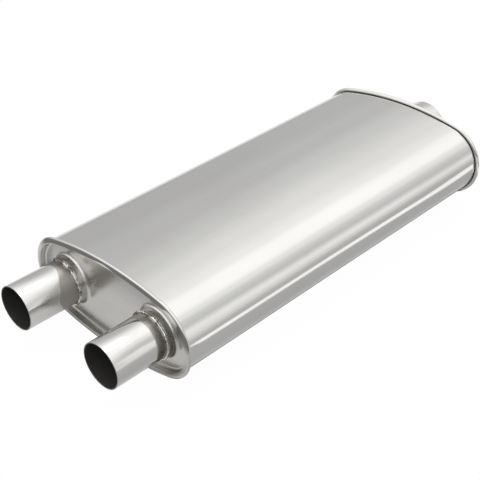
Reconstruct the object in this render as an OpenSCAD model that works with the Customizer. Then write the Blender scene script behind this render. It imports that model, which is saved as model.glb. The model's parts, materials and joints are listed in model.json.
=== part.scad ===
// Flat-oval exhaust silencer with two inlets at one end and one outlet at the other.
// It lies on its two rims. +X runs from the inlets to the outlet, +Y is the left side
// when one looks along +X, and the ground is at z = 0. Lengths are in millimetres.

/* [Body] */
// Width of the body across its flat-oval section
body_w = 248; // [230:1:280]
// Height of the body
body_h = 109; // [104:1:124]
// Radius of the two narrow sides of the oval
side_r = 46; // [42:0.5:49]
// Length of the body from rim to rim
body_len = 512; // [440:1:640]
// Thickness of the shell's sheet
shell_t = 1.2; // [1:0.1:1.6]

/* [Heads and rims] */
// Thickness of the heads' sheet
head_t = 1.6; // [1.2:0.1:2]
// How far each rolled rim stands out from the shell
rim_out = 4.4; // [4:0.1:6]
// Depth of a head's face behind its rim
recess = 9; // [8:0.5:14]
// Bend radius inside the corner of a head's pan
pan_r = 3; // [1.5:0.5:4]
// Fillet radius at the foot of a head's drawn collars
collar_r = 4; // [2:0.5:5]
// How far a drawn collar stands out in front of the rim
collar_out = 0.5; // [-2:0.5:2]

/* [Inlet necks] */
// Bore of each inlet neck, which takes a 2 inch pipe
inlet_bore = 51; // [40:0.5:54]
// Distance between the axes of the two inlet necks
inlet_span = 145; // [130:1:150]
// Length of each inlet neck in front of the rim
inlet_out = 67; // [40:1:100]

/* [Outlet neck] */
// Bore of the outlet neck, which takes a 2.5 inch pipe
outlet_bore = 63.7; // [50:0.1:66]
// Length of the outlet neck behind the rim
outlet_out = 55; // [40:1:100]

/* [Necks and welds] */
// Wall thickness of the three necks
neck_t = 1.2; // [1:0.1:2]
// Length of a neck behind the rim plane, inside the body
neck_in = 30; // [22:1:40]
// Leg of the weld beads round the tubes
bead_leg = 2; // [1.8:0.1:3]
// Width of the long weld seam under the shell
seam_w = 4; // [3:0.5:6]
// Height of the long weld seam
seam_h = 0.5; // [0.3:0.1:1]

/* [Inside] */
// Wall thickness of the perforated core tubes
core_t = 1.2; // [1:0.1:1.6]
// Thickness of the baffles' sheet
baffle_t = 1.2; // [1:0.1:1.6]
// Length of the flange round a baffle
flange_len = 14; // [10:1:20]
// Bend radius inside the folds of a baffle
baffle_r = 2; // [1:0.5:3]
// Length of the open chamber between the two baffles
chamber_len = 140; // [100:1:160]
// Length of a baffle's drawn collars
baffle_collar = 14; // [10:1:20]
// How far a core tube runs past its baffle's collar
core_past = 3; // [2.5:0.5:8]
// Thickness of the steel wool wound on each core tube
wool_t = 3; // [2:0.5:5]
// Diameter of the holes in the core tubes
perf_d = 6; // [4:0.5:7]
// Distance between rows of holes along a core tube
perf_pitch = 12; // [10:1:20]
// Number of holes round a core tube, always an even number
perf_round = 12; // [8:2:14]
// Plain length of core tube before and after its holes
perf_margin = 12; // [8:1:20]

/* [Fits] */
// Play between sheets that are folded or pressed together
sheet_gap = 0.1; // [0.05:0.05:0.2]
// Play between one tube and what it slides into
tube_gap = 0.1; // [0.05:0.05:0.2]
// Distance from the edge of a folded hem to the shell
hem_gap = 0.5; // [0.4:0.1:1]

/* [Hidden] */
$fn = 96;
// Facets of a full turn of the wide arcs
wide_fn = 360;
// Steps of a sweep round each end arc and each wide arc, and the angle of one step of a bend
end_steps = 20;
wide_steps = 10;
bend_step = 30;
// Overlap of a plate with the swept bend or collar that continues it
lap = 1;

// The oval has two end arcs, centred on its width, and two wide arcs tangent to them
end_x = body_w / 2 - side_r;
wide_r = (end_x ^ 2 + (body_h / 2) ^ 2 - side_r ^ 2) / (body_h - 2 * side_r);
wide_y = wide_r - body_h / 2;
turn = atan2(end_x, wide_y);

// A rim is the shell's flange inside the head's hem: front layer, flange, rear layer
rim_w = 2 * head_t + shell_t + 2 * sheet_gap;
fold_x = rim_out - rim_w / 2;
fold_r = shell_t / 2 + sheet_gap;
flange_z = head_t + sheet_gap;
// Bend radius inside the tight folds of a rim
rim_bend = 0.6;
// The outside of whatever is pressed into the shell, measured from the shell's outside
press_x = -shell_t - sheet_gap;
pan_x = press_x - head_t - pan_r;
baffle_x = press_x - baffle_t - baffle_r;

inlet_x = inlet_span / 2;
inlet_neck_r = inlet_bore / 2 + neck_t;
outlet_neck_r = outlet_bore / 2 + neck_t;
inlet_core_r = inlet_neck_r + tube_gap + core_t;
outlet_core_r = outlet_neck_r + tube_gap + core_t;

// Places along the body, measured from the plane of the inlet rim
head_back = recess + head_t;
core_start = head_back + lap;
front_z = (body_len - chamber_len) / 2;
perf_start = neck_in + perf_margin;
perf_len = front_z - perf_margin - perf_start;
perf_rows = floor(perf_len / perf_pitch) + 1;
perf_first = perf_start + (perf_len - (perf_rows - 1) * perf_pitch) / 2;
core_end = front_z + baffle_collar + core_past;

// Place of the body's axis in the part's frame
mid_x = (body_len + outlet_out - inlet_out) / 2;
axis_z = body_h / 2 + rim_out;

// Lays a piece down that was drawn upright on its inlet end, with z along the body
module lay() {
  translate([-mid_x, 0, axis_z]) rotate([90, 0, 90]) children();
}

// Turns an upright piece of the inlet half round into the outlet half
module far_end() {
  translate([0, 0, body_len]) mirror([0, 0, 1]) children();
}

// The body's section, grown outwards by a distance
module oval(grow) {
  reach = body_h;
  intersection() {
    translate([0, -wide_y]) circle(wide_r + grow, $fn = wide_fn);
    translate([0, wide_y]) circle(wide_r + grow, $fn = wide_fn);
    polygon([
      for (side = [[1, 1], [-1, 1], [-1, -1], [1, -1]])
        each side[0] == side[1]
          ? [[side[0] * end_x, 0], [side[0] * (end_x + reach * sin(turn)), side[1] * reach * cos(turn)]]
          : [[side[0] * (end_x + reach * sin(turn)), side[1] * reach * cos(turn)], [side[0] * end_x, 0]]
    ]);
  }
  for (side = [-1, 1]) translate([side * end_x, 0]) circle(side_r + grow);
}

// Stations round the oval, each the centre, radius and direction of its arc at that place
stations = [
  for (half = [0, 180])
    each concat(
      [for (i = [0 : end_steps])
        [[end_x * cos(half), 0], side_r, half + (2 * i / end_steps - 1) * (90 - turn)]],
      [for (i = [1 : wide_steps - 1])
        [[0, -wide_y * cos(half)], wide_r, half + 90 + (2 * i / wide_steps - 1) * turn]]
    )
];

// Sweeps a closed outline round the oval. Its x is the distance outwards from the shell's
// outside and its y runs along the body. The outline is listed anticlockwise
module sweep(outline) {
  m = len(outline);
  n = len(stations);
  polyhedron(
    points = [
      for (s = stations, p = outline)
        [each s[0] + (s[1] + p[0]) * [cos(s[2]), sin(s[2])], p[1]]
    ],
    faces = [
      for (i = [0 : n - 1], j = [0 : m - 1])
        [i * m + j, i * m + (j + 1) % m, ((i + 1) % n) * m + (j + 1) % m, ((i + 1) % n) * m + j]
    ]
  );
}

// Points on an arc of a bend, from one direction to another
function arc(centre, r, from, to) =
  let (steps = ceil(abs(to - from) / bend_step))
  [for (i = [0 : steps]) let (a = from + (to - from) * i / steps) centre + r * [cos(a), sin(a)]];

// Outline of a head's edge: hem over the shell's flange, pan wall, corner and start of the face
function head_edge() =
  let (
    fold = [fold_x, rim_w / 2],
    turn_in = [press_x + rim_bend, head_t + rim_bend],
    corner = [pan_x, recess - pan_r]
  )
  concat(
    [[hem_gap, rim_w - head_t]],
    arc(fold, fold_r, 90, -90),
    arc(turn_in, rim_bend, 270, 180),
    arc(corner, pan_r + head_t, 0, 90),
    [[pan_x - 2 * lap, head_back], [pan_x - 2 * lap, recess]],
    arc(corner, pan_r, 90, 0),
    arc(turn_in, rim_bend + head_t, 180, 270),
    arc(fold, fold_r + head_t, -90, 90),
    [[hem_gap, rim_w]]
  );

// Outline of a baffle's edge: start of the face, bend and flange
function baffle_edge() =
  let (corner = [baffle_x, baffle_t + baffle_r])
  concat(
    [[baffle_x - 2 * lap, 0]],
    arc(corner, baffle_r + baffle_t, -90, 0),
    [[press_x, flange_len], [press_x - baffle_t, flange_len]],
    arc(corner, baffle_r, 0, -90),
    [[baffle_x - 2 * lap, baffle_t]]
  );

// A straight stretch of sheet between two corners
module strip(from, to) {
  translate(from) square(to - from);
}

// A collar drawn out of a sheet that faces -z, with its tube's play, up to height tip
module collar(tube_r, t, fillet, face, tip) {
  inside = tube_r + tube_gap;
  rotate_extrude() {
    strip([inside, tip], [inside + t, face - fillet]);
    translate([inside + t + fillet, face - fillet]) rotate(90) intersection() {
      difference() {
        circle(fillet + t);
        circle(fillet);
      }
      square(fillet + t);
    }
    strip([inside + t + fillet, face], [inside + t + fillet + 2 * lap, face + t]);
  }
}

// A flat plate inside the oval, with a round opening for each collar
module face_plate(edge, z, t, tubes, cut) {
  translate([0, 0, z]) linear_extrude(t) difference() {
    oval(edge - lap);
    for (tube = tubes) translate([tube[0], 0]) circle(tube[1] + cut);
  }
}

// A drawn head with a collar for each tube, given as [place across, radius]
module head(tubes) {
  sweep(head_edge());
  face_plate(pan_x, recess, head_t, tubes, tube_gap + head_t + collar_r + lap);
  for (tube = tubes) translate([tube[0], 0, 0])
    collar(tube[1], head_t, collar_r, recess, -collar_out);
}

// A baffle pressed into the shell, with its flange and collars towards the open chamber
module baffle(tubes) {
  translate([0, 0, front_z]) {
    sweep(baffle_edge());
    face_plate(baffle_x, 0, baffle_t, tubes, tube_gap + baffle_t + baffle_r + lap);
    for (tube = tubes) translate([tube[0], 0, baffle_t]) mirror([0, 0, 1])
      collar(tube[1], baffle_t, baffle_r, 0, baffle_t - baffle_collar);
  }
}

module pipe(outer, inner, from, to) {
  translate([0, 0, from]) difference() {
    cylinder(h = to - from, r = outer);
    translate([0, 0, -lap]) cylinder(h = to - from + 2 * lap, r = inner);
  }
}

module neck(x, bore, out) {
  translate([x, 0, 0]) pipe(bore / 2 + neck_t, bore / 2, -out, neck_in);
}

// A fillet weld round a tube, on the end of a collar that stops at height z
module bead(x, tube_r, z, way) {
  translate([x, 0, z]) rotate_extrude() translate([tube_r, 0]) intersection() {
    circle(bead_leg, $fn = 48);
    translate([0, way < 0 ? -bead_leg : 0]) square(bead_leg);
  }
}

// A core tube over the inner end of its neck, drilled through in staggered rows
module core(x, neck_r, core_r) {
  translate([x, 0, 0]) difference() {
    pipe(core_r, neck_r + tube_gap, core_start, core_end);
    for (row = [0 : perf_rows - 1], hole = [0 : perf_round - 1])
      translate([0, 0, perf_first + row * perf_pitch])
        rotate([0, 90, (hole + (row % 2) / 2) * 360 / perf_round])
          translate([0, 0, core_r - 2 * core_t]) cylinder(h = 3 * core_t, d = perf_d, $fn = 24);
  }
}

module wool(x, core_r) {
  translate([x, 0, 0])
    pipe(core_r + sheet_gap + wool_t, core_r + sheet_gap, core_start, front_z - sheet_gap);
}

// Packing that fills the shell between a head and its baffle
module packing(tubes) {
  from = head_back + sheet_gap;
  translate([0, 0, from]) linear_extrude(front_z - sheet_gap - from) difference() {
    oval(press_x);
    for (tube = tubes) translate([tube[0], 0]) circle(tube[1] + wool_t + 2 * sheet_gap);
  }
}

inlet_tubes = [for (side = [1, -1]) [side * inlet_x, inlet_neck_r]];
inlet_cores = [for (side = [1, -1]) [side * inlet_x, inlet_core_r]];
outlet_tubes = [[0, outlet_neck_r]];
outlet_cores = [[0, outlet_core_r]];

module shell() {
  color("silver") lay() {
    translate([0, 0, flange_z]) linear_extrude(body_len - 2 * flange_z) difference() {
      oval(0);
      oval(-shell_t);
    }
    for (z = [flange_z, body_len - flange_z - shell_t])
      translate([0, 0, z]) linear_extrude(shell_t) difference() {
        oval(fold_x);
        oval(-shell_t);
      }
  }
}

// A low bead along the underside of the shell, from rim to rim
module shell_seam() {
  bow = (seam_w ^ 2 / 4 + seam_h ^ 2) / (2 * seam_h);
  color("gainsboro") lay() translate([0, -body_h / 2, rim_w + hem_gap])
    linear_extrude(body_len - 2 * (rim_w + hem_gap)) intersection() {
      translate([0, bow - seam_h]) circle(bow);
      translate([-seam_w, -seam_w]) square([2 * seam_w, seam_w]);
    }
}

module inlet_head() { color("darkgray") lay() head(inlet_tubes); }

module outlet_head() { color("darkgray") lay() far_end() head(outlet_tubes); }

module left_inlet_neck() { color("lightgray") lay() neck(inlet_x, inlet_bore, inlet_out); }

module right_inlet_neck() { color("lightgray") lay() neck(-inlet_x, inlet_bore, inlet_out); }

module outlet_neck() { color("lightgray") lay() far_end() neck(0, outlet_bore, outlet_out); }

module left_inlet_weld() { color("gainsboro") lay() bead(inlet_x, inlet_neck_r, -collar_out, -1); }

module right_inlet_weld() { color("gainsboro") lay() bead(-inlet_x, inlet_neck_r, -collar_out, -1); }

module outlet_weld() { color("gainsboro") lay() far_end() bead(0, outlet_neck_r, -collar_out, -1); }

module left_core_tube() { color("slategray") lay() core(inlet_x, inlet_neck_r, inlet_core_r); }

module right_core_tube() { color("slategray") lay() core(-inlet_x, inlet_neck_r, inlet_core_r); }

module outlet_core_tube() { color("slategray") lay() far_end() core(0, outlet_neck_r, outlet_core_r); }

module left_wool_sleeve() { color("dimgray") lay() wool(inlet_x, inlet_core_r); }

module right_wool_sleeve() { color("dimgray") lay() wool(-inlet_x, inlet_core_r); }

module outlet_wool_sleeve() { color("dimgray") lay() far_end() wool(0, outlet_core_r); }

module front_packing() { color("ivory") lay() packing(inlet_cores); }

module rear_packing() { color("ivory") lay() far_end() packing(outlet_cores); }

module front_baffle() { color("gray") lay() baffle(inlet_cores); }

module rear_baffle() { color("gray") lay() far_end() baffle(outlet_cores); }

module left_core_weld() { color("gainsboro") lay() bead(inlet_x, inlet_core_r, front_z + baffle_collar, 1); }

module right_core_weld() { color("gainsboro") lay() bead(-inlet_x, inlet_core_r, front_z + baffle_collar, 1); }

module outlet_core_weld() {
  color("gainsboro") lay() far_end() bead(0, outlet_core_r, front_z + baffle_collar, 1);
}

shell();
shell_seam();
inlet_head();
outlet_head();
left_inlet_neck();
right_inlet_neck();
outlet_neck();
left_inlet_weld();
right_inlet_weld();
outlet_weld();
left_core_tube();
right_core_tube();
outlet_core_tube();
left_wool_sleeve();
right_wool_sleeve();
outlet_wool_sleeve();
front_packing();
rear_packing();
front_baffle();
rear_baffle();
left_core_weld();
right_core_weld();
outlet_core_weld();
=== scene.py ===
import json
import math

import bmesh
import bpy
from mathutils import Matrix, Vector, noise


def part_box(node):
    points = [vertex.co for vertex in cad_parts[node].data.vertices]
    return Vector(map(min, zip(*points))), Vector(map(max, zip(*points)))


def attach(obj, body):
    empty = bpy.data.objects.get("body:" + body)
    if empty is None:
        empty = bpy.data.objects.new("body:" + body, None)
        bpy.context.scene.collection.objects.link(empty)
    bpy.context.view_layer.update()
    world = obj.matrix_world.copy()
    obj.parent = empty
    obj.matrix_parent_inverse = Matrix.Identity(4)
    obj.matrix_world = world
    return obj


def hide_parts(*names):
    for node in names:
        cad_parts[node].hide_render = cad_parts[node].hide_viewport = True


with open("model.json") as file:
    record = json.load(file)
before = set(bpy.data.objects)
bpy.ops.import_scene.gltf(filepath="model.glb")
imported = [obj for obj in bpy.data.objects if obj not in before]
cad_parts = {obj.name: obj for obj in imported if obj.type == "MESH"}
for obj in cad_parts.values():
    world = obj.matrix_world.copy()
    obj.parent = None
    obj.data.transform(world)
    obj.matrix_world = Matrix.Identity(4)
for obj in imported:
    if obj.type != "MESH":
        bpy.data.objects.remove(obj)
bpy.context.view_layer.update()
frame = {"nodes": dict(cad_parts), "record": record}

# Camera
# It stands at the inlet end on the right side and looks down along the body, with a mild
# telephoto lens. The shift keeps the body where the photograph's frame has it.
view_turn = math.radians(44.61)
view_rise = math.radians(31.44)
view_roll = math.radians(-2.08)
view_distance = 1.2753
view_centre = Vector((0.00655, 0, 0.0589))
focal_length = 78.473
frame_shift = (-0.0676, -0.0587)
away = Vector((
    -math.cos(view_turn) * math.cos(view_rise),
    -math.sin(view_turn) * math.cos(view_rise),
    math.sin(view_rise),
))
lens = bpy.data.cameras.new("camera")
lens.lens = focal_length
lens.shift_x, lens.shift_y = frame_shift
camera = bpy.data.objects.new("camera", lens)
facing = away.to_track_quat("Z", "Y").to_matrix().to_4x4() @ Matrix.Rotation(view_roll, 4, "Z")
camera.matrix_world = Matrix.Translation(view_centre + away * view_distance) @ facing
bpy.context.scene.collection.objects.link(camera)
bpy.context.scene.camera = camera

# Studio
# A white table without an edge, a bright ceiling that fades towards the walls, and a low light strip beside
# the body, which is painted light on the table that glows only in the metal's reflections. The camera sees
# plain white behind the body.
bpy.context.scene.view_settings.view_transform = "Standard"

def node(tree, kind, **values):
    made = tree.nodes.new(kind)
    for name, value in values.items():
        setattr(made, name, value)
    return made

# A socket takes another node's output or a plain value
def feed(tree, socket, value):
    if isinstance(value, bpy.types.NodeSocket):
        tree.links.new(value, socket)
    else:
        socket.default_value = value

def math_node(tree, operation, *values):
    made = node(tree, "ShaderNodeMath", operation=operation)
    for socket, value in zip(made.inputs, values):
        feed(tree, socket, value)
    return made.outputs[0]

def map_range(tree, source, start, end, low=0.0, high=1.0, kind="LINEAR"):
    made = node(tree, "ShaderNodeMapRange", interpolation_type=kind)
    for name, value in (
        ("Value", source), ("From Min", start), ("From Max", end), ("To Min", low), ("To Max", high)
    ):
        feed(tree, made.inputs[name], value)
    return made.outputs[0]

def soft_step(tree, source, start, end):
    return map_range(tree, source, start, end, kind="SMOOTHSTEP")

def mixed(tree, share, first, second, kind="RGBA", blend="MIX"):
    made = node(tree, "ShaderNodeMix", data_type=kind, blend_type=blend)
    for name, value in (("Factor", share), ("A", first), ("B", second)):
        feed(tree, made.inputs[name], value)
    return made.outputs["Result"]

def ramp(tree, source, stops, kind="LINEAR"):
    made = node(tree, "ShaderNodeValToRGB")
    made.color_ramp.interpolation = kind
    elements = made.color_ramp.elements
    while len(elements) < len(stops):
        elements.new(0.5)
    for element, (where, colour) in zip(elements, stops):
        element.position = where
        element.color = (*colour, 1)
    tree.links.new(source, made.inputs["Fac"])
    return made.outputs["Color"]

def axes(tree, place):
    made = node(tree, "ShaderNodeSeparateXYZ")
    tree.links.new(place, made.inputs[0])
    return made.outputs["X"], made.outputs["Y"], made.outputs["Z"]

# The table is paint that takes the shadow, under a white that most of the camera's rays and
# of the mirrored rays see instead
floor_size = 12.0
floor_colour = (0.46, 0.452, 0.445)
seen_level = 1.02
seen_share = 0.96
glossy_share = 0.9

# Painted levels of the table that only the metal's reflections see, as [metres, level] across the body's
# right side and along the body in front of the inlet end. The lower of the two counts. The dip beside the
# body's right side is painted shade
mirror_top = 1.3
across_levels = [
    (-2.0, 1.13), (-1.0, 1.1), (-0.6, 1.0), (-0.45, 0.84), (-0.32, 0.66), (-0.13, 0.57), (-0.03, 0.95),
    (2.0, 1.0),
]
along_levels = [
    (-1.2, 0.2), (-0.36, 0.2), (-0.345, 0.28), (-0.331, 0.5), (-0.318, 0.64), (-0.305, 0.84),
    (-0.285, 0.8), (-0.26, 0.76), (-0.25, 0.76), (-0.245, 1.3), (2.0, 1.3),
]

# A painted shadow darkens the table under the body in the metal's reflections
under_half = 0.108
under_front = -0.2585
under_soft = 0.013
under_shadow_level = 0.22

# The painted light strip's middle line, as [metres along, metres across], and its width and level. It glows
# on the table only in the metal's reflections
strip_line = [
    (-0.3, -0.238), (-0.167, -0.236), (0.01, -0.229), (0.18, -0.214), (0.27, -0.203), (0.31, -0.204),
    (0.4, -0.224), (0.6, -0.23),
]
strip_half = 0.024
strip_soft = 0.012
strip_start = -0.172
strip_level = 1.5

floor_mesh = bpy.data.meshes.new("floor")
half = floor_size / 2
floor_mesh.from_pydata(
    [(-half, -half, 0), (half, -half, 0), (half, half, 0), (-half, half, 0)], [], [(0, 1, 2, 3)]
)
floor = bpy.data.objects.new("floor", floor_mesh)
bpy.context.scene.collection.objects.link(floor)
white_table = bpy.data.materials.new("white_table")
white_table.use_nodes = True
table = white_table.node_tree
table.nodes.clear()
along, across, _ = axes(table, node(table, "ShaderNodeTexCoord").outputs["Object"])

def table_levels(source, stations):
    first, last = stations[0][0], stations[-1][0]
    stops = [
        ((metres - first) / (last - first), (abs(level) / mirror_top,) * 3) for metres, level in stations
    ]
    return ramp(table, map_range(table, source, first, last), stops)

plain = math_node(
    table, "MINIMUM", table_levels(across, across_levels), table_levels(along, along_levels)
)
# Painted shadow under the body, which darkens the table's levels in the metal's reflections
under = math_node(
    table, "MULTIPLY", soft_step(table, along, under_front, under_front + under_soft),
    soft_step(table, math_node(table, "ABSOLUTE", across), under_half, under_half - under_soft),
)
shaded = math_node(
    table, "MULTIPLY", plain, math_node(table, "MULTIPLY_ADD", under, under_shadow_level - 1, 1.0)
)
strip_middle = math_node(table, "MULTIPLY", table_levels(along, strip_line), mirror_top)
aside = math_node(table, "ABSOLUTE", math_node(table, "ADD", across, strip_middle))
# The painted light strip on the table, seen only in the metal's reflections
painted_strip_glow = math_node(
    table, "MULTIPLY", soft_step(table, aside, strip_half + strip_soft / 2, strip_half - strip_soft / 2),
    soft_step(table, along, strip_start, strip_start + strip_soft),
)
mirrored = mixed(table, painted_strip_glow, math_node(table, "MULTIPLY", shaded, mirror_top), strip_level, "FLOAT")
rays = node(table, "ShaderNodeLightPath")
to_camera, to_mirror = rays.outputs["Is Camera Ray"], rays.outputs["Is Glossy Ray"]
white = node(table, "ShaderNodeEmission")
table.links.new(mixed(table, to_camera, mirrored, seen_level, "FLOAT"), white.inputs["Strength"])
paint = node(table, "ShaderNodeBsdfDiffuse")
paint.inputs["Color"].default_value = (*floor_colour, 1)
mirror_share = math_node(table, "MULTIPLY", to_mirror, glossy_share)
white_share = math_node(table, "MULTIPLY_ADD", to_camera, seen_share, mirror_share)
surface = node(table, "ShaderNodeMixShader")
table.links.new(white_share, surface.inputs["Fac"])
table.links.new(paint.outputs[0], surface.inputs[1])
table.links.new(white.outputs[0], surface.inputs[2])
table.links.new(surface.outputs[0], node(table, "ShaderNodeOutputMaterial").inputs["Surface"])
floor_mesh.materials.append(white_table)

# Levels of the room by height above the horizon, as [degrees, level], on the body's left, on
# its right, from there round to the inlet end, where mostly the folds of the rims look, and
# in front of the inlet end
left_room = [
    (-90, 0.6), (0, 0.6), (12, 0.64), (28, 0.73), (36, 0.88), (42, 1.1), (48, 1.35), (54, 1.55), (90, 0.9),
]
right_room = [
    (-90, 0.7), (-4, 1.15), (4, 1.22), (18, 0.8), (25, 0.9), (36, 1.2), (46, 1.5), (54, 1.58), (90, 0.9),
]
fold_room = [(-90, 0.3), (0, 0.6), (18, 0.9), (30, 1.2), (42, 1.4), (60, 1.45), (90, 1.2)]
front_room = [
    (-90, 0.3), (-6, 0.22), (1, 0.4), (9, 0.8), (18, 1.2), (26, 1.5), (36, 1.5), (60, 1.3), (90, 0.9),
]
room_top = 1.6

# Where one side of the room passes into the next, as shares of a direction's length across
# and along the body
side_join = (-0.35, 0.35)
fold_join = (0.05, 0.35)
front_join = (-0.75, -0.35)

# The levels of the two sides are tilted along the body, and only from the tilt's start on
room_tilt = 0.7
tilt_centre = 0.61
tilt_start = 0.4

world = bpy.data.worlds.new("studio")
bpy.context.scene.world = world
world.use_nodes = True
air = world.node_tree
air.nodes.clear()
ahead, left, up = axes(air, node(air, "ShaderNodeTexCoord").outputs["Generated"])

# The height of a direction above the horizon, from 0 straight down to 1 straight up
def rise(source):
    clamp = node(air, "ShaderNodeClamp")
    clamp.inputs["Min"].default_value = -1
    air.links.new(source, clamp.inputs["Value"])
    return map_range(air, math_node(air, "ARCSINE", clamp.outputs[0]), -math.pi / 2, math.pi / 2)

def room_side(levels, height):
    stops = [((degrees + 90) / 180, (level / room_top,) * 3) for degrees, level in levels]
    return ramp(air, height, stops, "EASE")

def joined(source, join, first, second):
    return mixed(air, soft_step(air, source, *join), first, second)

tilted = math_node(
    air, "MULTIPLY_ADD", math_node(air, "MAXIMUM", ahead, tilt_start), room_tilt,
    math_node(air, "ADD", up, -room_tilt * tilt_centre),
)
slant_rise = rise(tilted)
plain_rise = rise(up)
sides = joined(left, side_join, room_side(right_room, slant_rise), room_side(left_room, slant_rise))
around = joined(ahead, fold_join, room_side(fold_room, plain_rise), sides)
room = joined(ahead, front_join, room_side(front_room, plain_rise), around)
room_light = node(air, "ShaderNodeBackground")
room_light.inputs["Strength"].default_value = room_top
air.links.new(room, room_light.inputs["Color"])
backdrop = node(air, "ShaderNodeBackground")
backdrop.inputs["Color"].default_value = (1, 1, 1, 1)
seen = node(air, "ShaderNodeMixShader")
air.links.new(node(air, "ShaderNodeLightPath").outputs["Is Camera Ray"], seen.inputs["Fac"])
air.links.new(room_light.outputs[0], seen.inputs[1])
air.links.new(backdrop.outputs[0], seen.inputs[2])
air.links.new(seen.outputs[0], node(air, "ShaderNodeOutputWorld").inputs["Surface"])

# A soft lamp straight overhead gives the table its faint shadow
ceiling_size = 1.0
ceiling_height = 2.2
ceiling_level = 1.5
ceiling_lamp = bpy.data.lights.new("ceiling", "AREA")
ceiling_lamp.size = ceiling_size
ceiling_lamp.energy = ceiling_level * math.pi * ceiling_size ** 2
ceiling = bpy.data.objects.new("ceiling", ceiling_lamp)
ceiling.location = (0, 0, ceiling_height)
bpy.context.scene.collection.objects.link(ceiling)

# Shell
# One sheet of stainless steel, rolled to a flat oval and butt-welded along the underside.
# Its two ends are turned out into flanges, and the heads' edges are folded over them.
mm = 0.001
body_w = 248 * mm
body_h = 109 * mm
side_r = 46 * mm
shell_t = 1.2 * mm
head_t = 1.6 * mm
sheet_gap = 0.1 * mm
collar_out = 0.5 * mm
rim_w = 2 * head_t + shell_t + 2 * sheet_gap
flange_z = head_t + sheet_gap
inlet_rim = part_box("inlet_head")[0].x + collar_out
outlet_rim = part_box("outlet_head")[1].x - collar_out
rim_out = (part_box("inlet_head")[1].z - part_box("inlet_head")[0].z - body_h) / 2
axis_z = body_h / 2 + rim_out
fold_out = rim_out - rim_w / 2
body_len = outlet_rim - inlet_rim

# The oval has two end arcs and two wide arcs tangent to them. A station on it holds the
# arc's centre and radius and the direction out
end_y = body_w / 2 - side_r
wide_r = (end_y ** 2 + (body_h / 2) ** 2 - side_r ** 2) / (body_h - 2 * side_r)
wide_z = wide_r - body_h / 2
turn = math.atan2(end_y, wide_z)
end_steps = 72
wide_steps = 48
round_oval = []
for way in (1, -1):
    for i in range(end_steps):
        angle = (2 * i / end_steps - 1) * (math.pi / 2 - turn)
        centre = Vector((0, way * end_y, axis_z))
        round_oval.append((centre, side_r, way * math.cos(angle), way * math.sin(angle)))
    for i in range(wide_steps):
        angle = math.pi / 2 + (2 * i / wide_steps - 1) * turn
        centre = Vector((0, 0, axis_z - way * wide_z))
        round_oval.append((centre, wide_r, way * math.cos(angle), way * math.sin(angle)))

def oval_point(station, x, out):
    centre, radius, across, up = station
    return Vector((x, centre.y + (radius + out) * across, centre.z + (radius + out) * up))

# The front of the folded rim leans back a little towards its edge
rim_lean = 0.24
lean_start = -2.9 * mm

def leaned(out, behind):
    return behind + rim_lean * max(0, out - lean_start) * max(0, 1 - behind / rim_w)

def piece_of(name, mesh, sharp_angle):
    mesh.polygons.foreach_set("use_smooth", [True] * len(mesh.polygons))
    mesh.set_sharp_from_angle(angle=math.radians(sharp_angle))
    mesh.update()
    piece = bpy.data.objects.new(name, mesh)
    bpy.context.scene.collection.objects.link(piece)
    return piece

# A closed sweep: rings of points, where each ring has one point for each outline point
def swept_piece(name, points, rings, size, sharp_angle):
    faces = []
    for i in range(rings):
        after = (i + 1) % rings
        for j in range(size):
            k = (j + 1) % size
            faces.append((i * size + j, after * size + j, after * size + k, i * size + k))
    mesh = bpy.data.meshes.new(name)
    mesh.from_pydata(points, [], faces)
    return piece_of(name, mesh, sharp_angle)

# The sheet has faint long waves, which fade towards its ends
shell_step = 4 * mm
wave_height = 0.12 * mm
wave_length = 95 * mm
wave_stretch = 1.6
wave_fade = 30 * mm
front = inlet_rim + flange_z
back = outlet_rim - flange_z
plain_len = back - front - 2 * shell_t
outside = [(front, fold_out), (front + shell_t, fold_out), (front + shell_t, 0)]
steps = round(plain_len / shell_step)
for i in range(1, steps):
    outside.append((front + shell_t + plain_len * i / steps, 0))
outside += [
    (back - shell_t, 0), (back - shell_t, fold_out), (back, fold_out), (back, -shell_t), (front, -shell_t),
]
points = []
for station in round_oval:
    for x, out in outside:
        point = oval_point(station, x, out)
        if out > 0:
            end = inlet_rim if x < 0 else outlet_rim
            point.x = end - math.copysign(leaned(out, abs(end - x)), end)
        fade = min(1, (x - front) / wave_fade, (back - x) / wave_fade)
        if out == 0 and fade > 0:
            spot = Vector((
                point.x / wave_length / wave_stretch, point.y / wave_length, point.z / wave_length
            ))
            point = oval_point(station, x, wave_height * noise.noise(spot) * fade)
        points.append(point)
shell = swept_piece("rolled_shell", points, len(round_oval), len(outside), sharp_angle=35)

def new_group(name, kind, inputs, outputs):
    group = bpy.data.node_groups.new(name, kind)
    for way, sockets in (("INPUT", inputs), ("OUTPUT", outputs)):
        for label, sort in sockets:
            group.interface.new_socket(label, in_out=way, socket_type="NodeSocket" + sort)
    return group, node(group, "NodeGroupInput"), node(group, "NodeGroupOutput")

def noise_field(tree, place, scale, detail, seed=None):
    made = node(tree, "ShaderNodeTexNoise", noise_dimensions="4D" if seed else "3D")
    made.inputs["Scale"].default_value = scale
    made.inputs["Detail"].default_value = detail
    tree.links.new(place, made.inputs["Vector"])
    if seed:
        tree.links.new(seed, made.inputs["W"])
    return made.outputs["Fac"]

def stretched(tree, place, streaks):
    made = node(tree, "ShaderNodeVectorMath", operation="MULTIPLY")
    tree.links.new(place, made.inputs[0])
    feed(tree, made.inputs[1], streaks)
    return made.outputs[0]

# Streaks that rolling and brushing leave in sheet, along one axis of the object, and a cloud
# of broad changes
fine_scale = 1.0
broad_scale = 0.14
cloud_scale = 9

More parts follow.
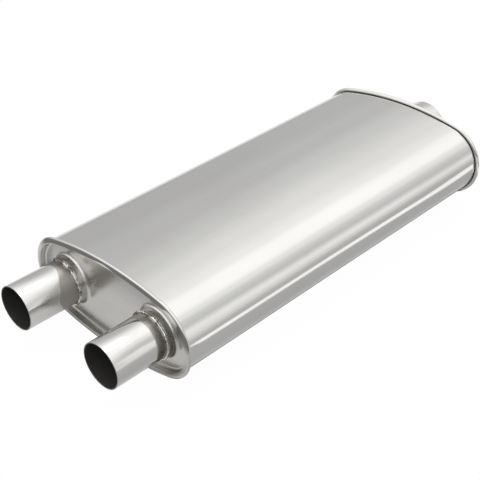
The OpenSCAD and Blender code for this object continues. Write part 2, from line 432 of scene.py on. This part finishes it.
def grain_group():
    group, given, put = new_group(
        "rolling_streaks", "ShaderNodeTree",
        (("Vector", "Vector"), ("Streaks", "Vector"), ("Seed", "Float")),
        (("Fine", "Float"), ("Broad", "Float"), ("Cloud", "Float")),
    )
    place = given.outputs["Vector"]
    along_grain = stretched(group, place, given.outputs["Streaks"])
    for name, field_place, scale, detail in (
        ("Fine", along_grain, fine_scale, 3), ("Broad", along_grain, broad_scale, 4),
        ("Cloud", place, cloud_scale, 3),
    ):
        field = noise_field(group, field_place, scale, detail, seed=given.outputs["Seed"])
        group.links.new(field, put.inputs[name])
    return group

rolling_streaks = grain_group()

# Most of a noise lies within its reach
noise_reach = (0.3, 0.7)
tone_share = 0.5
cloud_reach = (0.35, 0.7)
cloud_dulling = (-0.015, 0.03)
streak_depth = 0.02 * mm

# A finish with streaks in its roughness, tone and surface. Its colour goes from the first to
# the second with the streaks and the cloud, and a tint changes colour and roughness further
def streaked(name, colours, rough, streaks, bump, seed, tint=None, metallic=1.0):
    material = bpy.data.materials.new(name)
    material.use_nodes = True
    tree = material.node_tree
    body = tree.nodes["Principled BSDF"]
    body.inputs["Metallic"].default_value = metallic
    place = node(tree, "ShaderNodeTexCoord").outputs["Object"]
    grain = node(tree, "ShaderNodeGroup", node_tree=rolling_streaks)
    grain.inputs["Streaks"].default_value = streaks
    grain.inputs["Seed"].default_value = seed
    tree.links.new(place, grain.inputs["Vector"])
    fine, broad, cloud = (grain.outputs[label] for label in ("Fine", "Broad", "Cloud"))
    tone = math_node(
        tree, "ADD", map_range(tree, broad, *noise_reach, 0, tone_share),
        map_range(tree, cloud, *noise_reach, 0, tone_share),
    )
    colour = mixed(tree, tone, (*colours[0], 1), (*colours[1], 1))
    dull = math_node(
        tree, "ADD", map_range(tree, fine, *noise_reach, *rough),
        map_range(tree, cloud, *cloud_reach, *cloud_dulling),
    )
    if tint:
        colour, change = tint(tree, place, colour)
        dull = math_node(tree, "ADD", dull, change)
    tree.links.new(colour, body.inputs["Base Color"])
    tree.links.new(dull, body.inputs["Roughness"])
    relief = node(tree, "ShaderNodeBump")
    relief.inputs["Strength"].default_value = bump
    relief.inputs["Distance"].default_value = streak_depth
    tree.links.new(fine, relief.inputs["Height"])
    tree.links.new(relief.outputs["Normal"], body.inputs["Normal"])
    return material

# Painted shade darkens the shell in the corner between the shell and the folded rims, where the roughness is
# raised too
corner_shade_from = 0.3 * mm
corner_shade_to = 2.2 * mm
corner_shade_colour = (0.75, 0.74, 0.72)
corner_dulling = 0.3

def shaded_corners(tree, place, colour):
    along = axes(tree, place)[0]
    middle = (inlet_rim + outlet_rim) / 2
    corner = body_len / 2 - rim_w
    out = math_node(tree, "ABSOLUTE", math_node(tree, "SUBTRACT", along, middle))
    share = soft_step(tree, out, corner - corner_shade_to, corner - corner_shade_from)
    # Painted shade darkens the shell's colour in the corner by the rims
    corner_shaded = mixed(tree, share, colour, (*corner_shade_colour, 1), blend="MULTIPLY")
    return corner_shaded, math_node(tree, "MULTIPLY", share, corner_dulling)

shell_colours = [(0.66, 0.655, 0.64), (0.6, 0.594, 0.578)]
shell.data.materials.append(streaked(
    "shell_steel", shell_colours, rough=(0.08, 0.13), streaks=(9, 420, 420), bump=0.12, seed=1.0,
    tint=shaded_corners,
))
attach(shell, "root")
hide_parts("shell")

# Inner pieces
# Perforated core tubes wound with steel wool, glass-fibre packing, and the two baffles that
# carry the tubes. They lie sealed inside the shell and keep the shape of the CAD model.
inner_finishes = {
    "core_steel": streaked(
        "core_steel", [(0.5, 0.49, 0.47), (0.43, 0.42, 0.4)], rough=(0.25, 0.35), streaks=(9, 300, 300),
        bump=0.2, seed=11.0,
    ),
    "steel_wool": streaked(
        "steel_wool", [(0.42, 0.42, 0.41), (0.3, 0.3, 0.29)], rough=(0.45, 0.6), streaks=(60, 900, 900),
        bump=0.8, seed=12.0,
    ),
    "packing": streaked(
        "packing", [(0.82, 0.79, 0.68), (0.72, 0.68, 0.56)], rough=(0.8, 0.95), streaks=(180, 180, 180),
        bump=0.9, seed=14.0, metallic=0.0,
    ),
}
for part in frame["record"]["subparts"]:
    if part["material_slot"] in inner_finishes:
        for holder in frame["nodes"][part["node"]].material_slots:
            holder.material = inner_finishes[part["material_slot"]]

# Heads
# Each is one drawn sheet of stainless steel. Its edge is folded round the shell's flange,
# its face lies deeper than the rim, and collars are drawn out of the face for the necks.
recess = 9 * mm
pan_r = 3 * mm
collar_r = 4 * mm
tip_soft = 0.3 * mm
hem_gap = 1.3 * mm
hem_spread = 0.45
rim_bend = 0.1 * mm
tube_gap = 0.1 * mm
inlet_span = 145 * mm
inlet_neck_r = (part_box("left_inlet_neck")[1].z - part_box("left_inlet_neck")[0].z) / 2
outlet_neck_r = (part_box("outlet_neck")[1].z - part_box("outlet_neck")[0].z) / 2
head_back = recess + head_t
press_in = -shell_t - sheet_gap
pan_out = press_in - head_t - pan_r
face_lap = 1.5 * mm
collar_steps = 96

def arc(centre, radius, start, end, step=10):
    count = max(2, round(abs(end - start) / step))
    angles = [math.radians(start + (end - start) * i / count) for i in range(count + 1)]
    return [(centre[0] + radius * math.cos(a), centre[1] + radius * math.sin(a)) for a in angles]

# The head's section from the front of its face round the rim to the back of its face, as
# distance out from the shell and distance behind the rim's front
def head_section():
    fold = (fold_out, rim_w / 2)
    fold_in = shell_t / 2 + sheet_gap
    turn_in = (press_in + rim_bend, head_t + rim_bend)
    corner = (pan_out, recess - pan_r)
    front_side = [(pan_out - face_lap, recess)]
    front_side += arc(corner, pan_r, 90, 0)
    front_side += arc(turn_in, rim_bend + head_t, 180, 270)
    front_side += arc(fold, fold_in + head_t, -90, 90)
    edge = [(hem_gap, rim_w), (hem_gap, rim_w - head_t)]
    back_side = arc(fold, fold_in, 90, -90)
    back_side += arc(turn_in, rim_bend, 270, 180)
    back_side += arc(corner, pan_r + head_t, 0, 90)
    back_side.append((pan_out - face_lap, head_back))
    return front_side + edge + back_side

# A collar's section from the front of the face over its tip to the back of the face, as
# distance from the tube's axis and distance behind the rim's front
def collar_section(tube_r):
    inside = tube_r + tube_gap
    foot = (inside + head_t + collar_r, recess - collar_r)
    tip = tip_soft - collar_out
    section = [(foot[0] + face_lap, recess)]
    section += arc(foot, collar_r, 90, 180)
    section += arc((inside + head_t - tip_soft, tip), tip_soft, 0, -90, step=30)
    section += arc((inside + tip_soft, tip), tip_soft, -90, -180, step=30)
    section += arc(foot, collar_r + head_t, 180, 90)
    section.append((foot[0] + face_lap, head_back))
    return section

# The hem stands a little away from the flange towards its edge
def spread_hem(out, behind):
    if out <= 0:
        return behind
    down = max(0, rim_out - out) / (rim_out - hem_gap)
    return behind + hem_spread * down * max(0, behind - rim_w / 2)

# How much of the painted shade a point of the section has: all on the wall of the recess, and less towards
# the face
wall_slack = 0.1 * mm
wall_out = press_in + rim_bend + wall_slack
shade_rise = 0.4 * pan_r

def wall_share(out, behind):
    return min(1, (recess - behind) / shade_rise) if behind < recess and out < wall_out else 0

def head_pressing(name, rim_x, way, tubes):
    work = bmesh.new()
    recess_shade_paint = work.verts.layers.float.new("recess_shade_share")
    rim = []
    for station in round_oval:
        ring = []
        for out, behind in head_section():
            x = rim_x + way * spread_hem(out, leaned(out, behind))
            vertex = work.verts.new(oval_point(station, x, out))
            vertex[recess_shade_paint] = wall_share(out, behind)
            ring.append(vertex)
        rim.append(ring)
    sweeps = [rim]
    for centre_y, tube_r in tubes:
        collar = []
        for i in range(collar_steps):
            angle = -2 * math.pi * i / collar_steps
            across, up = math.cos(angle), math.sin(angle)
            collar.append([
                work.verts.new((rim_x + way * behind, centre_y + radius * across, axis_z + radius * up))
                for radius, behind in collar_section(tube_r)
            ])
        sweeps.append(collar)
    for rings in sweeps:
        for ring, after in zip(rings, rings[1:] + rings[:1]):
            for j in range(len(ring) - 1):
                work.faces.new((ring[j], ring[j + 1], after[j + 1], after[j]))
    for side in (0, -1):
        open_edges = [
            work.edges.get((ring[side], after[side]))
            for rings in sweeps for ring, after in zip(rings, rings[1:] + rings[:1])
        ]
        bmesh.ops.triangle_fill(work, use_beauty=True, edges=open_edges)
    bmesh.ops.recalc_face_normals(work, faces=work.faces)
    mesh = bpy.data.meshes.new(name)
    work.to_mesh(mesh)
    work.free()
    return piece_of(name, mesh, sharp_angle=40)

# Welding heat dulls and browns the steel as far as an edge beside the bead. The tints go from
# the bead to that edge
heat_scale = 70
heat_drift = 2.5 * mm
heat_tints = [
    (0.0, (0.58, 0.535, 0.49)), (0.2, (0.64, 0.605, 0.57)), (0.6, (0.7, 0.672, 0.642)),
    (1.0, (0.66, 0.632, 0.6)),
]

def heat_group():
    group, given, put = new_group(
        "heat_tint", "ShaderNodeTree",
        (("Vector", "Vector"), ("Colour", "Color"), ("Away", "Float"), ("Reach", "Float"), ("Edge", "Float")),
        (("Colour", "Color"), ("Share", "Float")),
    )
    drift = noise_field(group, given.outputs["Vector"], heat_scale, detail=2)
    shifted = math_node(group, "MULTIPLY_ADD", drift, heat_drift, given.outputs["Away"])
    rest = math_node(group, "SUBTRACT", given.outputs["Reach"], shifted)
    inside = soft_step(group, math_node(group, "DIVIDE", rest, given.outputs["Edge"]), 0.0, 1.0)
    brown = ramp(group, math_node(group, "DIVIDE", shifted, given.outputs["Reach"]), heat_tints)
    heated = mixed(group, inside, given.outputs["Colour"], brown, blend="MULTIPLY")
    group.links.new(heated, put.inputs["Colour"])
    group.links.new(inside, put.inputs["Share"])
    return group

heat_tint = heat_group()

def heated(tree, place, colour, away, reach, edge):
    made = node(tree, "ShaderNodeGroup", node_tree=heat_tint)
    for name, value in (
        ("Vector", place), ("Colour", colour), ("Away", away), ("Reach", reach), ("Edge", edge)
    ):
        feed(tree, made.inputs[name], value)
    return made.outputs["Colour"], made.outputs["Share"]

# On a head, the nearest of its tubes counts. The seaming rollers leave its rim brighter, and streaked painted
# shade darkens the lower wall of its recess, fainter in the middle
heat_reach = 6 * mm
heat_edge = 7 * mm
rim_burnish = -0.18
burnish_clear = (4 * mm, 6 * mm)
shade_low = -8 * mm
shade_full = -28 * mm
shade_middle = (38 * mm, 80 * mm)
shade_least = 0.3
recess_dulling = 0.22
shade_colours = [(0.42, 0.4, 0.375), (0.68, 0.66, 0.63)]
shade_streaks = (900, 14, 14)
shade_split = (0.4, 0.62)

def pressed(rim_x, tubes):
    def tint(tree, place, colour):
        along, across, height = axes(tree, place)
        up = math_node(tree, "SUBTRACT", height, axis_z)
        nearest = None
        for centre_y, tube_r in tubes:
            beside = math_node(tree, "SUBTRACT", across, centre_y)
            square = math_node(
                tree, "MULTIPLY_ADD", beside, beside, math_node(tree, "MULTIPLY", up, up)
            )
            away = math_node(tree, "SUBTRACT", math_node(tree, "SQRT", square), tube_r)
            nearest = math_node(tree, "MINIMUM", nearest, away) if nearest else away
        colour = heated(tree, place, colour, nearest, heat_reach, heat_edge)[0]
        deep = math_node(tree, "ABSOLUTE", math_node(tree, "SUBTRACT", along, rim_x))
        rolled = math_node(
            tree, "MULTIPLY", soft_step(tree, deep, recess - pan_r, rim_w),
            soft_step(tree, nearest, *burnish_clear),
        )
        # Streaked painted shade on the lower wall of the recess
        wall = node(tree, "ShaderNodeAttribute", attribute_name="recess_shade_share").outputs["Fac"]
        below = soft_step(tree, up, shade_low, shade_full)
        aside = soft_step(tree, math_node(tree, "ABSOLUTE", across), *shade_middle)
        most = math_node(tree, "MULTIPLY_ADD", aside, 1 - shade_least, shade_least)
        share = math_node(tree, "MULTIPLY", wall, math_node(tree, "MULTIPLY", below, most))
        streaks = noise_field(tree, stretched(tree, place, shade_streaks), scale=1.0, detail=2)
        recess_shade_paint = mixed(
            tree, soft_step(tree, streaks, *shade_split), (*shade_colours[0], 1), (*shade_colours[1], 1)
        )
        recess_shaded = mixed(tree, share, colour, recess_shade_paint, blend="MULTIPLY")
        scuffed = math_node(tree, "MULTIPLY", math_node(tree, "MULTIPLY", wall, below), recess_dulling)
        return recess_shaded, math_node(tree, "MULTIPLY_ADD", rolled, rim_burnish, scuffed)
    return tint

head_colours = [(0.64, 0.632, 0.615), (0.59, 0.58, 0.56)]
inlet_tubes = [(inlet_span / 2, inlet_neck_r), (-inlet_span / 2, inlet_neck_r)]
outlet_tubes = [(0, outlet_neck_r)]
for covered, rim_x, way, tubes, seed in (
    ("inlet_head", inlet_rim, 1, inlet_tubes, 4.0), ("outlet_head", outlet_rim, -1, outlet_tubes, 5.0)
):
    piece = head_pressing(covered + "_pressing", rim_x, way, tubes)
    piece.data.materials.append(streaked(
        covered + "_steel", head_colours, rough=(0.24, 0.28), streaks=(420, 9, 420), bump=0.03, seed=seed,
        tint=pressed(rim_x, tubes),
    ))
    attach(piece, "root")
    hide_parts(covered)

# Necks
# Plain welded stainless tube, cut square and slid into the heads' collars. The bore is painted near-black as
# painted shade inside the tube, and the cut edge is bright.
neck_t = 1.2 * mm
lip_soft = 0.25 * mm
neck_steps = 144
bore_margin = 0.02 * mm

def neck_tube(name, centre_y, start, end, radius):
    bore = radius - neck_t
    section = []
    for x, r, first in (
        (start + lip_soft, radius - lip_soft, 180), (end - lip_soft, radius - lip_soft, 90),
        (end - lip_soft, bore + lip_soft, 0), (start + lip_soft, bore + lip_soft, -90),
    ):
        section += arc((x, r), lip_soft, first, first - 90, step=30)
    points = []
    for i in range(neck_steps):
        angle = 2 * math.pi * i / neck_steps
        for x, r in section:
            points.append(Vector((x, centre_y + r * math.cos(angle), axis_z + r * math.sin(angle))))
    piece = swept_piece(name, points, neck_steps, len(section), sharp_angle=50)
    for face in piece.data.polygons:
        r = math.hypot(face.center.y - centre_y, face.center.z - axis_z)
        face.material_index = 1 if r < bore + bore_margin else 0
    return piece

# The heat tint near the weld is darkened further as a painted reflection of the dark head. It goes further
# along the sides of the necks that face the middle of the head, as [share of the radius towards the middle,
# millimetres], and leaves them hazy further still
neck_reach = [(0.0, 15.5), (0.2, 15.5), (0.5, 19.0), (0.77, 23.0), (0.94, 27.0), (1.0, 30.0)]
reach_top = 30
neck_edge = 0.9 * mm
heat_dulling = 0.2
haze_inner = (0.55, 0.9)
haze_reach = 66 * mm
haze_full = 0.3 * haze_reach
haze_dulling = 0.3

def welded_end(rim_x, centre_y):
    def tint(tree, place, colour):
        along, across, _ = axes(tree, place)
        away = math_node(tree, "ABSOLUTE", math_node(tree, "SUBTRACT", along, rim_x))
        inwards = math_node(tree, "SUBTRACT", centre_y, math_node(tree, "ABSOLUTE", across))
        stops = [(where, (reach / reach_top,) * 3) for where, reach in neck_reach]
        part = ramp(tree, math_node(tree, "DIVIDE", inwards, inlet_neck_r), stops)
        reach = math_node(tree, "MULTIPLY", part, reach_top * mm)
        # Heat tint at the neck's base, darkened further as a painted reflection of the dark head
        colour, share = heated(tree, place, colour, away, reach, neck_edge)
        haze = math_node(
            tree, "MULTIPLY", soft_step(tree, away, haze_reach, haze_full),
            soft_step(tree, part, *haze_inner),
        )
        change = math_node(tree, "MULTIPLY", haze, haze_dulling)
        return colour, math_node(tree, "MULTIPLY_ADD", share, heat_dulling, change)
    return tint

def neck_finish(name, rim_x, centre_y):
    neck_colours = [(0.66, 0.655, 0.64), (0.6, 0.592, 0.575)]
    return streaked(
        name, neck_colours, rough=(0.06, 0.1), streaks=(9, 420, 420), bump=0.12, seed=7.0,
        tint=welded_end(rim_x, centre_y),
    )

inlet_steel = neck_finish("inlet_neck_steel", inlet_rim, inlet_span / 2)
outlet_steel = neck_finish("outlet_neck_steel", outlet_rim, 0)
# Near-black painted shade inside the tubes
bore_shade = streaked(
    "bore_shade", [(0.022, 0.02, 0.018), (0.012, 0.011, 0.01)], rough=(0.6, 0.75), streaks=(9, 300, 300),
    bump=0.2, seed=8.0, metallic=0.0,
)
for name, covered, centre_y, radius, finish in (
    ("left_inlet_tube", "left_inlet_neck", inlet_span / 2, inlet_neck_r, inlet_steel),
    ("right_inlet_tube", "right_inlet_neck", -inlet_span / 2, inlet_neck_r, inlet_steel),
    ("outlet_tube", "outlet_neck", 0, outlet_neck_r, outlet_steel),
):
    low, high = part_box(covered)
    piece = neck_tube(name, centre_y, low.x, high.x, radius)
    piece.data.materials.append(finish)
    piece.data.materials.append(bore_shade)
    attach(piece, "root")
    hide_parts(covered)

# Welds
# Each neck is welded to the tip of its collar, each core tube to its baffle, and the shell's
# seam along the underside, all as rippled beads of filler metal that vary in width.
soot_scale = 110
soot_split = (0.5, 0.6)
soot_colour = (0.3, 0.27, 0.24)
soot_dulling = 0.15

def sooty(tree, place, colour):
    share = soft_step(tree, noise_field(tree, place, soot_scale, detail=2), *soot_split)
    dark = mixed(tree, share, colour, (*soot_colour, 1), blend="MULTIPLY")
    return dark, math_node(tree, "MULTIPLY", share, soot_dulling)

weld_steel = streaked(
    "weld_steel", [(0.8, 0.79, 0.77), (0.6, 0.58, 0.55)], rough=(0.12, 0.2), streaks=(140, 140, 140),
    bump=0.25, seed=13.0, tint=sooty,
)

# The bead's outline is a rectangle with rounded corners. Its ripples are arcs across it, with
# sharp valleys between round crests, and lumps of three sizes, as [scale, height], lie on it
corner_share = 0.42
corner_points = 4
outline_points = 28
ripple_bend = 1.1
ripple_middle = 0.6
noise_middle = 0.5
lumps = [(80, 1.2), (260, 0.9), (700, 0.4)]

def bead_group():
    group, given, put = new_group(
        "weld_bead", "GeometryNodeTree",
        (
            ("Guide", "Geometry"), ("Width", "Float"), ("Height", "Float"), ("Ripples", "Int"),
            ("Ripple Height", "Float"), ("Unevenness", "Float"), ("Step", "Float"), ("Seed", "Float"),
            ("Steel", "Material"),
        ),
        (("Bead", "Geometry"),),
    )
    link = group.links.new

    def captured(curve):
        made = node(group, "GeometryNodeCaptureAttribute")
        made.capture_items.new("FLOAT", "Share")
        link(curve, made.inputs["Geometry"])
        link(node(group, "GeometryNodeSplineParameter").outputs["Factor"], made.inputs["Share"])
        return made.outputs["Geometry"], made.outputs["Share"]

    path = node(group, "GeometryNodeMeshToCurve")
    link(given.outputs["Guide"], path.inputs["Mesh"])
    level = node(group, "GeometryNodeSetCurveNormal", mode="Z_UP")
    link(path.outputs[0], level.inputs["Curve"])
    even = node(group, "GeometryNodeResampleCurve", mode="LENGTH")
    link(level.outputs[0], even.inputs["Curve"])
    link(given.outputs["Step"], even.inputs["Length"])
    path_curve, along = captured(even.outputs[0])

    ring = node(group, "GeometryNodeCurvePrimitiveQuadrilateral")
    link(given.outputs["Width"], ring.inputs["Width"])
    link(given.outputs["Height"], ring.inputs["Height"])
    round_off = node(group, "GeometryNodeFilletCurve", mode="POLY")
    link(ring.outputs["Curve"], round_off.inputs["Curve"])
    link(math_node(group, "MULTIPLY", given.outputs["Height"], corner_share), round_off.inputs["Radius"])
    round_off.inputs["Count"].default_value = corner_points
    sized = node(group, "GeometryNodeResampleCurve", mode="COUNT")
    link(round_off.outputs[0], sized.inputs["Curve"])
    sized.inputs["Count"].default_value = outline_points
    outline, around = captured(sized.outputs[0])
    swept = node(group, "GeometryNodeCurveToMesh")
    swept.inputs["Fill Caps"].default_value = True
    link(path_curve, swept.inputs["Curve"])
    link(outline, swept.inputs["Profile Curve"])

    across = math_node(group, "COSINE", math_node(group, "MULTIPLY", around, 2 * math.pi))
    phase = math_node(
        group, "MULTIPLY_ADD", math_node(group, "MULTIPLY", along, given.outputs["Ripples"]), math.pi,
        math_node(group, "MULTIPLY", across, ripple_bend),
    )
    crest = math_node(group, "ABSOLUTE", math_node(group, "SINE", phase))
    push = math_node(
        group, "MULTIPLY", math_node(group, "SUBTRACT", crest, ripple_middle), given.outputs["Ripple Height"]
    )
    spot = node(group, "GeometryNodeInputPosition").outputs[0]
    uneven = None
    for scale, share in lumps:
        field = noise_field(group, spot, scale, detail=1, seed=given.outputs["Seed"])
        lump = math_node(group, "MULTIPLY", math_node(group, "SUBTRACT", field, noise_middle), share)
        uneven = math_node(group, "ADD", uneven, lump) if uneven else lump
    uneven = math_node(group, "MULTIPLY", uneven, given.outputs["Unevenness"])
    offset = node(group, "ShaderNodeVectorMath", operation="SCALE")
    link(node(group, "GeometryNodeInputNormal").outputs[0], offset.inputs[0])
    link(math_node(group, "ADD", push, uneven), offset.inputs["Scale"])
    moved = node(group, "GeometryNodeSetPosition")
    link(swept.outputs[0], moved.inputs["Geometry"])
    link(offset.outputs[0], moved.inputs["Offset"])
    real = node(group, "GeometryNodeRealizeInstances")
    link(moved.outputs[0], real.inputs[0])
    finish = node(group, "GeometryNodeSetMaterial")
    link(real.outputs[0], finish.inputs["Geometry"])
    link(given.outputs["Steel"], finish.inputs["Material"])
    link(finish.outputs[0], put.inputs[0])
    return group

weld_bead = bead_group()

def weld(name, covered, path, closed, settings):
    guide = bpy.data.meshes.new(name)
    edges = [(i, i + 1) for i in range(len(path) - 1)]
    if closed:
        edges.append((len(path) - 1, 0))
    guide.from_pydata(path, edges, [])
    piece = bpy.data.objects.new(name, guide)
    bpy.context.scene.collection.objects.link(piece)
    growth = piece.modifiers.new("growth", "NODES")
    growth.node_group = weld_bead
    for socket in weld_bead.interface.items_tree:
        if socket.in_out == "INPUT" and socket.name in settings:
            growth[socket.identifier] = settings[socket.name]
    grown = bpy.data.meshes.new_from_object(piece.evaluated_get(bpy.context.evaluated_depsgraph_get()))
    piece.modifiers.remove(growth)
    work = bmesh.new()
    work.from_mesh(grown)
    bmesh.ops.recalc_face_normals(work, faces=work.faces)
    work.to_mesh(grown)
    work.free()
    grown.polygons.foreach_set("use_smooth", [True] * len(grown.polygons))
    piece.data = grown
    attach(piece, "root")
    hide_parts(covered)

# A round bead lies in the corner between a tube and the tip of its collar or baffle
bead_leg = 2 * mm
bead_lift = 0.9 * mm
bead_reach = 1.3 * mm
ripple_pitch = 1.5 * mm
guide_steps = 120
for name, covered, centre_y, tip_side, seed in (
    ("left_inlet_bead", "left_inlet_weld", inlet_span / 2, 1, 1.0),
    ("right_inlet_bead", "right_inlet_weld", -inlet_span / 2, 1, 2.0),
    ("outlet_bead", "outlet_weld", 0, 0, 3.0),
    ("left_core_bead", "left_core_weld", inlet_span / 2, 0, 4.0),
    ("right_core_bead", "right_core_weld", -inlet_span / 2, 0, 5.0),
    ("outlet_core_bead", "outlet_core_weld", 0, 1, 6.0),
):
    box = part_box(covered)
    radius = (box[1].z - box[0].z) / 2 - bead_leg + bead_lift
    x = box[tip_side].x + (bead_reach if tip_side == 0 else -bead_reach)
    path = []
    for i in range(guide_steps):
        angle = 2 * math.pi * i / guide_steps
        path.append((x, centre_y + radius * math.cos(angle), axis_z + radius * math.sin(angle)))
    weld(name, covered, path, True, {
        "Width": 3.4 * mm, "Height": 2.4 * mm, "Ripples": round(2 * math.pi * radius / ripple_pitch),
        "Ripple Height": 0.2 * mm, "Unevenness": 1.5 * mm, "Step": 0.35 * mm, "Seed": seed,
        "Steel": weld_steel,
    })

# The shell's seam is a flat bead, sunk into the sheet
seam_sink = 0.35 * mm
seam_steps = 20
seam_low, seam_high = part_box("shell_seam")
seam_len = seam_high.x - seam_low.x
seam_path = [
    (seam_low.x + seam_len * i / seam_steps, 0, seam_high.z - seam_sink) for i in range(seam_steps + 1)
]
weld("shell_seam_bead", "shell_seam", seam_path, False, {
    "Width": 4 * mm, "Height": 1.3 * mm, "Ripples": round(seam_len / ripple_pitch),
    "Ripple Height": 0.08 * mm, "Unevenness": 0.15 * mm, "Step": 0.4 * mm, "Seed": 7.0,
    "Steel": weld_steel,
})
